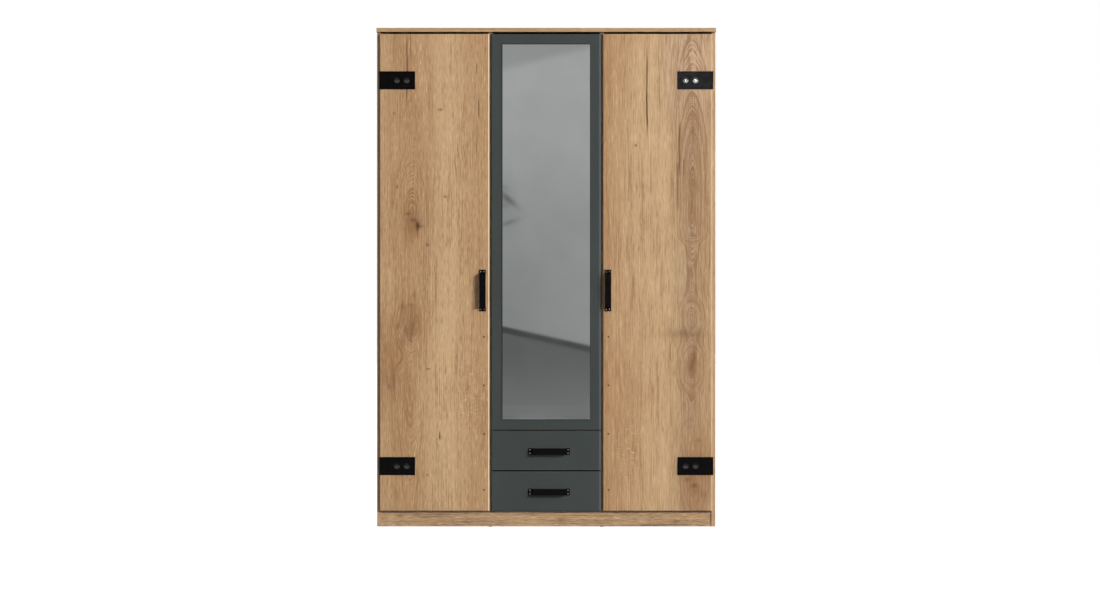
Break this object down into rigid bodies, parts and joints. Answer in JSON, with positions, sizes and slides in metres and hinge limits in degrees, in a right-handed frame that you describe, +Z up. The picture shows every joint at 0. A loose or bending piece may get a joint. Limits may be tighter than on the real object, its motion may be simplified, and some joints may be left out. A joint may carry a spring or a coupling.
{
  "type": "wardrobe",
  "caption": "Free-standing wardrobe with oak-look outer doors, a grey mirror door between them, drawers below it and black corner straps and bow handles.",
  "frame": {"origin": "On the floor, at the middle of the overall width and depth (the depth includes the door handles).", "axes": "+Z up, +X to the right seen from the front, front towards -Y."},
  "size_m": [1.354, 0.606, 1.99],
  "materials": {
    "oak_door": "oak-look melamine, vertical planked grain, matt",
    "oak_carcass": "oak-look melamine on chipboard, matt",
    "graphite_front": "graphite grey melamine on chipboard, matt",
    "hardboard": "lacquered hardboard",
    "drawer_board": "wrapped chipboard",
    "beech": "planed beech",
    "black_steel": "satin black powder coat",
    "black_screws": "black finish",
    "zinc_steel": "zinc or nickel plated",
    "mirror": "silvered, ground edge",
    "glide_plastic": "moulded",
    "felt": "pressed felt"
  },
  "bodies": {
    "cabinet": {"left_side_panel": "oak_carcass", "right_side_panel": "oak_carcass", "left_partition": "oak_carcass", "right_partition": "oak_carcass", "top_board": "oak_carcass", "bottom_board": "oak_carcass", "plinth_front": "oak_carcass", "plinth_rear": "oak_carcass", "left_hat_shelf": "oak_carcass", "right_hat_shelf": "oak_carcass", "drawer_cover_shelf": "oak_carcass", "middle_shelves": "oak_carcass", "back_panel_left": "hardboard", "back_panel_middle": "hardboard", "back_panel_right": "hardboard", "left_clothes_rail": "zinc_steel", "right_clothes_rail": "zinc_steel", "rail_sockets": "zinc_steel", "shelf_pins": "zinc_steel", "cam_locks": "zinc_steel", "dowels": "beech", "floor_glides": "glide_plastic", "wall_brackets": "zinc_steel", "carcass_screws": "zinc_steel", "door_bumpers": "felt", "hinge_plates": "zinc_steel", "hinge_arms": "zinc_steel", "cabinet_runners": "beech", "back_panel_nails": "zinc_steel"},
    "left_door": {"left_door_panel": "oak_door", "left_door_handle": "black_steel", "left_door_straps": "black_steel", "left_hinge_cups": "zinc_steel", "left_door_fasteners": "black_screws"},
    "left_links": {"left_hinge_links": "zinc_steel"},
    "right_door": {"right_door_panel": "oak_door", "right_door_handle": "black_steel", "right_door_straps": "black_steel", "right_hinge_cups": "zinc_steel", "right_door_fasteners": "black_screws"},
    "right_links": {"right_hinge_links": "zinc_steel"},
    "mirror_door": {"mirror_door_panel": "graphite_front", "mirror_glass": "mirror", "mirror_hinge_cups": "zinc_steel", "mirror_door_fasteners": "zinc_steel"},
    "mirror_links": {"mirror_hinge_links": "zinc_steel"},
    "lower_drawer": {"lower_drawer_front": "graphite_front", "lower_drawer_left_side": "drawer_board", "lower_drawer_right_side": "drawer_board", "lower_drawer_back": "drawer_board", "lower_drawer_bottom": "hardboard", "lower_drawer_handle": "black_steel", "lower_drawer_fasteners": "black_screws"},
    "upper_drawer": {"upper_drawer_front": "graphite_front", "upper_drawer_left_side": "drawer_board", "upper_drawer_right_side": "drawer_board", "upper_drawer_back": "drawer_board", "upper_drawer_bottom": "hardboard", "upper_drawer_handle": "black_steel", "upper_drawer_fasteners": "black_screws"}
  },
  "joints": [
    {"name": "left_door", "type": "hinge", "parent": "cabinet", "child": "left_door", "pos_m": [-0.6585, -0.267, 0], "axis": [0, 0, -1], "range_deg": [0, 100]},
    {"name": "right_door", "type": "hinge", "parent": "cabinet", "child": "right_door", "pos_m": [0.6585, -0.267, 0], "axis": [0, 0, 1], "range_deg": [0, 100]},
    {"name": "mirror_door", "type": "hinge", "parent": "cabinet", "child": "mirror_door", "pos_m": [-0.214, -0.267, 0], "axis": [0, 0, -1], "range_deg": [0, 100]},
    {"name": "left_hinge_links", "type": "hinge", "parent": "left_door", "child": "left_links", "pos_m": [-0.65679, -0.2623, 0], "axis": [0, 0, -1], "range_deg": [-126, 0]},
    {"name": "right_hinge_links", "type": "hinge", "parent": "right_door", "child": "right_links", "pos_m": [0.65679, -0.2623, 0], "axis": [0, 0, 1], "range_deg": [-126, 0]},
    {"name": "mirror_hinge_links", "type": "hinge", "parent": "mirror_door", "child": "mirror_links", "pos_m": [-0.21229, -0.2623, 0], "axis": [0, 0, -1], "range_deg": [-126, 0]},
    {"name": "lower_drawer", "type": "slide", "parent": "cabinet", "child": "lower_drawer", "axis": [0, -1, 0], "range_m": [0, 0.36]},
    {"name": "upper_drawer", "type": "slide", "parent": "cabinet", "child": "upper_drawer", "axis": [0, -1, 0], "range_m": [0, 0.36]}
  ],
  "couplings": [
    {"joint": "left_hinge_links", "follows": "left_door", "ratio": -1.2571},
    {"joint": "right_hinge_links", "follows": "right_door", "ratio": -1.2571},
    {"joint": "mirror_hinge_links", "follows": "mirror_door", "ratio": -1.2571}
  ]
}
